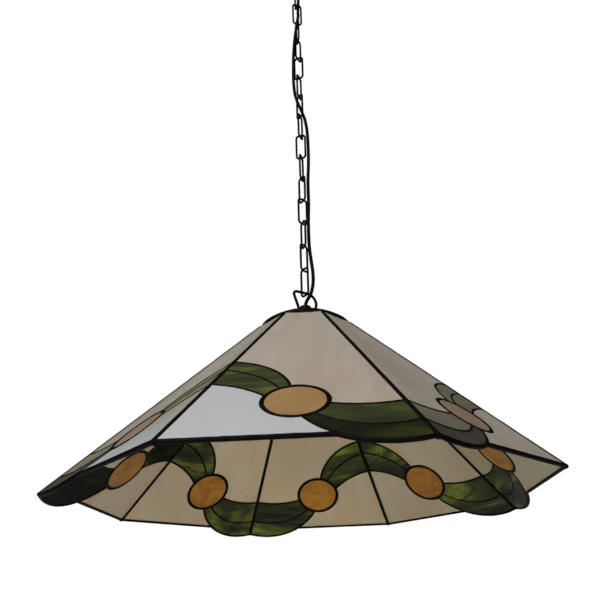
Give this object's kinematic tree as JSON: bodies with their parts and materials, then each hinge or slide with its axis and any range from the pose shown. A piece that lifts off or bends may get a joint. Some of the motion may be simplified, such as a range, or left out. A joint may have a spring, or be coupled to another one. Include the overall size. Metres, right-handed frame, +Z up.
{
  "type": "pool table lamp",
  "caption": "Octagonal leaded-glass pendant lamp with a green ribbon and amber discs, hung from a ceiling canopy on a chain with a flex woven through it.",
  "frame": {"origin": "on the ceiling, at the middle of the two bracket screw holes; the lamp hangs below it towards -Z", "axes": "+Z up, along the axis of the shade and the chain; -Y towards the viewer of the picture, square to one shade panel; +X to the viewer's right, along the bracket"},
  "size_m": [0.5896, 0.5896, 0.9633],
  "materials": {
    "cream_glass": "opalescent art glass, lightly rippled",
    "green_glass": "mottled mossy green art glass",
    "amber_glass": "mottled amber art glass",
    "solder": "rounded solder beads with black-brown patina",
    "black_metal": "satin black",
    "brass": "plain",
    "zinc_steel": "zinc plated",
    "bush_plastic": "matte",
    "flex_sheath": "round flex sheath, satin",
    "bakelite": "moulded, satin",
    "porcelain": "glazed white",
    "bulb_glass": "frosted",
    "bulb_metal": "plain"
  },
  "bodies": {
    "ceiling_canopy": {"ceiling_bracket": "zinc_steel", "canopy_nipple": "zinc_steel", "ceiling_canopy": "black_metal", "canopy_loop": "black_metal", "upper_bush": "bush_plastic", "flex": "flex_sheath"},
    "chain_link_1": {"chain_link_1": "black_metal"},
    "chain_link_2": {"chain_link_2": "black_metal"},
    "chain_link_3": {"chain_link_3": "black_metal"},
    "chain_link_4": {"chain_link_4": "black_metal"},
    "chain_link_5": {"chain_link_5": "black_metal"},
    "chain_link_6": {"chain_link_6": "black_metal"},
    "chain_link_7": {"chain_link_7": "black_metal"},
    "chain_link_8": {"chain_link_8": "black_metal"},
    "chain_link_9": {"chain_link_9": "black_metal"},
    "chain_link_10": {"chain_link_10": "black_metal"},
    "chain_link_11": {"chain_link_11": "black_metal"},
    "chain_link_12": {"chain_link_12": "black_metal"},
    "chain_link_13": {"chain_link_13": "black_metal"},
    "chain_link_14": {"chain_link_14": "black_metal"},
    "chain_link_15": {"chain_link_15": "black_metal"},
    "shade": {"cream_glass_1": "cream_glass", "cream_glass_2": "cream_glass", "cream_glass_3": "cream_glass", "cream_glass_4": "cream_glass", "cream_glass_5": "cream_glass", "cream_glass_6": "cream_glass", "cream_glass_7": "cream_glass", "cream_glass_8": "cream_glass", "green_glass_1": "green_glass", "green_glass_2": "green_glass", "green_glass_3": "green_glass", "green_glass_4": "green_glass", "green_glass_5": "green_glass", "green_glass_6": "green_glass", "green_glass_7": "green_glass", "green_glass_8": "green_glass", "solder_web_1": "solder", "solder_web_2": "solder", "solder_web_3": "solder", "solder_web_4": "solder", "solder_web_5": "solder", "solder_web_6": "solder", "solder_web_7": "solder", "solder_web_8": "solder", "amber_discs": "amber_glass", "vase_cap": "black_metal", "reinforcing_ring": "brass", "support_spider": "brass", "lamp_nipple": "zinc_steel", "nipple_nuts": "zinc_steel", "hanging_loop": "black_metal", "lower_bush": "bush_plastic", "lampholder_cap": "bakelite", "lampholder_shell": "bakelite", "lampholder_insert": "porcelain", "bulb_glass": "bulb_glass", "bulb_base": "bulb_metal"}
  },
  "joints": [
    {"name": "chain_swing_1", "type": "hinge", "parent": "ceiling_canopy", "child": "chain_link_1", "pos_m": [0, 0, -0.06905], "axis": [0.9063, 0.4226, 0], "range_deg": [-15, 15], "deforming": ["flex"]},
    {"name": "chain_swing_2", "type": "hinge", "parent": "chain_link_1", "child": "chain_link_2", "pos_m": [0, 0, -0.10835], "axis": [0.4226, -0.9063, 0], "range_deg": [-5, 5]},
    {"name": "chain_swing_3", "type": "hinge", "parent": "chain_link_2", "child": "chain_link_3", "pos_m": [0, 0, -0.14805], "axis": [0.9397, 0.342, 0], "range_deg": [-5, 5]},
    {"name": "chain_swing_4", "type": "hinge", "parent": "chain_link_3", "child": "chain_link_4", "pos_m": [0, 0, -0.18775], "axis": [0.309, -0.9511, 0], "range_deg": [-5, 5]},
    {"name": "chain_swing_5", "type": "hinge", "parent": "chain_link_4", "child": "chain_link_5", "pos_m": [0, 0, -0.22745], "axis": [0.5, 0.866, 0], "range_deg": [-5, 5]},
    {"name": "chain_swing_6", "type": "hinge", "parent": "chain_link_5", "child": "chain_link_6", "pos_m": [0, 0, -0.26715], "axis": [0.9397, -0.342, 0], "range_deg": [-5, 5]},
    {"name": "chain_swing_7", "type": "hinge", "parent": "chain_link_6", "child": "chain_link_7", "pos_m": [0, 0, -0.30685], "axis": [0.3746, 0.9272, 0], "range_deg": [-5, 5]},
    {"name": "chain_swing_8", "type": "hinge", "parent": "chain_link_7", "child": "chain_link_8", "pos_m": [0, 0, -0.34655], "axis": [0.6428, -0.766, 0], "range_deg": [-5, 5]},
    {"name": "chain_swing_9", "type": "hinge", "parent": "chain_link_8", "child": "chain_link_9", "pos_m": [0, 0, -0.38625], "axis": [0.342, 0.9397, 0], "range_deg": [-5, 5]},
    {"name": "chain_swing_10", "type": "hinge", "parent": "chain_link_9", "child": "chain_link_10", "pos_m": [0, 0, -0.42595], "axis": [0.9781, -0.2079, 0], "range_deg": [-5, 5]},
    {"name": "chain_swing_11", "type": "hinge", "parent": "chain_link_10", "child": "chain_link_11", "pos_m": [0, 0, -0.46565], "axis": [0.2588, 0.9659, 0], "range_deg": [-5, 5]},
    {"name": "chain_swing_12", "type": "hinge", "parent": "chain_link_11", "child": "chain_link_12", "pos_m": [0, 0, -0.50535], "axis": [0.6428, -0.766, 0], "range_deg": [-5, 5]},
    {"name": "chain_swing_13", "type": "hinge", "parent": "chain_link_12", "child": "chain_link_13", "pos_m": [0, 0, -0.54505], "axis": [0.8192, 0.5736, 0], "range_deg": [-5, 5]},
    {"name": "chain_swing_14", "type": "hinge", "parent": "chain_link_13", "child": "chain_link_14", "pos_m": [0, 0, -0.58475], "axis": [0.4695, -0.8829, 0], "range_deg": [-5, 5]},
    {"name": "chain_swing_15", "type": "hinge", "parent": "chain_link_14", "child": "chain_link_15", "pos_m": [0, 0, -0.62445], "axis": [0.6157, 0.788, 0], "range_deg": [-5, 5]},
    {"name": "shade_swing", "type": "hinge", "parent": "chain_link_15", "child": "shade", "pos_m": [0, 0, -0.66025], "axis": [0.866, 0.5, 0], "range_deg": [-10, 10]}
  ]
}
